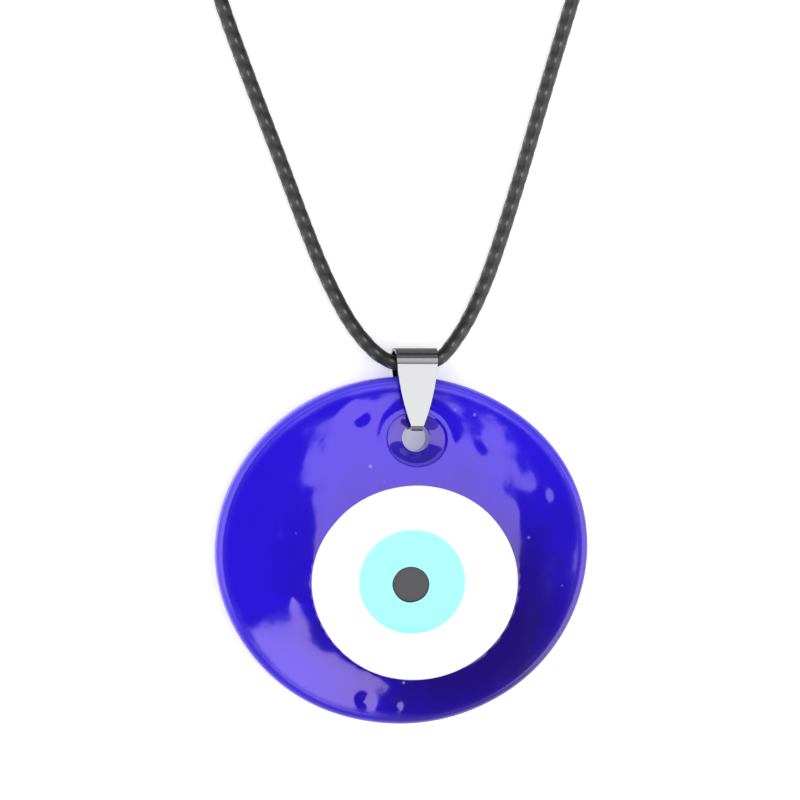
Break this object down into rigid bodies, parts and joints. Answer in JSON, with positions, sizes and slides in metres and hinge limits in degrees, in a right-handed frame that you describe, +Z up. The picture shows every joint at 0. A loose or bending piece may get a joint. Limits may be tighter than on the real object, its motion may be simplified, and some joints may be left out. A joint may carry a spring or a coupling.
{
  "type": "evil eye pendant on cord",
  "caption": "Oval domed evil eye in cobalt, white and pale blue glass on a steel pinch bail, hung on a black braided cord with a lobster clasp and extender chain.",
  "frame": {"origin": "on the table, under the middle of the glass and its bail, measured without the cord and what is on it", "axes": "+Z up out of the eye's face, +Y from the glass towards its bail and the cord's ends, +X to the right as the eye is looked at"},
  "size_m": [0.0555, 0.1397, 0.0071],
  "materials": {
    "cobalt_glass": "clear deep cobalt glass, fire-polished",
    "white_glass": "opaque white glass",
    "pale_blue_glass": "opaque pale blue glass",
    "dark_glass": "opaque dark grey glass",
    "steel": "polished stainless steel",
    "spring_steel": "spring steel wire",
    "waxed_cord": "black waxed and braided cotton cord",
    "tie_plastic": "soft white plastic strip"
  },
  "bodies": {
    "cord": {"cord_lead": "waxed_cord", "cord_coil": "waxed_cord", "cord_tail": "waxed_cord", "storage_tie": "tie_plastic", "chain_cap": "steel", "clasp_cap": "steel"},
    "bail": {"bail": "steel"},
    "glass": {"glass_body": "cobalt_glass", "white_layer": "white_glass", "iris_layer": "pale_blue_glass", "pupil": "dark_glass"},
    "clasp_ring": {"clasp_ring": "steel"},
    "clasp": {"clasp_body": "steel", "clasp_pin": "steel", "clasp_spring": "spring_steel"},
    "lever": {"clasp_lever": "steel"},
    "chain_ring": {"chain_ring": "steel"},
    "chain_link_01": {"chain_link_01": "steel"},
    "chain_link_02": {"chain_link_02": "steel"},
    "chain_link_03": {"chain_link_03": "steel"},
    "chain_link_04": {"chain_link_04": "steel"},
    "chain_link_05": {"chain_link_05": "steel"},
    "chain_link_06": {"chain_link_06": "steel"},
    "chain_link_07": {"chain_link_07": "steel"},
    "end_drop": {"end_drop": "steel"}
  },
  "joints": [
    {"name": "bail_swing", "type": "hinge", "parent": "cord", "child": "bail", "pos_m": [0.0015, 0.02269, 0.00321], "axis": [-1, 0, 0], "range_deg": [0, 110]},
    {"name": "glass_swing", "type": "hinge", "parent": "bail", "child": "glass", "pos_m": [0.0015, 0.01307, 0.00057], "axis": [0, -0.0147, 0.9999], "range_deg": [-10, 10]},
    {"name": "clasp_ring_turn", "type": "hinge", "parent": "cord", "child": "clasp_ring", "pos_m": [0.01111, 0.10929, 0.00171], "axis": [0, 0, 1], "range_deg": [-15, 15]},
    {"name": "clasp_turn", "type": "hinge", "parent": "clasp_ring", "child": "clasp", "pos_m": [0.01344, 0.11007, 0.00171], "axis": [0, 0, -1], "range_deg": [-15, 15]},
    {"name": "lever_press", "type": "hinge", "parent": "clasp", "child": "lever", "pos_m": [0.01641, 0.11195, 0.00122], "axis": [0, 0, -1], "range_deg": [0, 25], "stiffness_Nm_per_rad": 0.0002, "springref_deg": -11.46},
    {"name": "chain_ring_turn", "type": "hinge", "parent": "cord", "child": "chain_ring", "pos_m": [0.02637, 0.08583, 0.00171], "axis": [0, 0, 1], "range_deg": [-15, 15]},
    {"name": "chain_link_01_turn", "type": "hinge", "parent": "chain_ring", "child": "chain_link_01", "pos_m": [0.02587, 0.08823, 0.00171], "axis": [0, 0, -1], "range_deg": [-15, 15]},
    {"name": "chain_link_02_turn", "type": "hinge", "parent": "chain_link_01", "child": "chain_link_02", "pos_m": [0.02341, 0.09194, 0.00171], "axis": [0, 0, 1], "range_deg": [-15, 15]},
    {"name": "chain_link_03_turn", "type": "hinge", "parent": "chain_link_02", "child": "chain_link_03", "pos_m": [0.01973, 0.09445, 0.00171], "axis": [0, 0, -1], "range_deg": [-15, 15]},
    {"name": "chain_link_04_turn", "type": "hinge", "parent": "chain_link_03", "child": "chain_link_04", "pos_m": [0.01539, 0.0954, 0.00171], "axis": [0, 0, 1], "range_deg": [-15, 15]},
    {"name": "chain_link_05_turn", "type": "hinge", "parent": "chain_link_04", "child": "chain_link_05", "pos_m": [0.011, 0.09465, 0.00171], "axis": [0, 0, -1], "range_deg": [-15, 15]},
    {"name": "chain_link_06_turn", "type": "hinge", "parent": "chain_link_05", "child": "chain_link_06", "pos_m": [0.00721, 0.09232, 0.00171], "axis": [0, 0, 1], "range_deg": [-15, 15]},
    {"name": "chain_link_07_turn", "type": "hinge", "parent": "chain_link_06", "child": "chain_link_07", "pos_m": [0.00457, 0.08873, 0.00171], "axis": [0, 0, -1], "range_deg": [-15, 15]},
    {"name": "end_drop_turn", "type": "hinge", "parent": "chain_link_07", "child": "end_drop", "pos_m": [0.00347, 0.08442, 0.00171], "axis": [0, 0, 1], "range_deg": [-15, 15]}
  ]
}
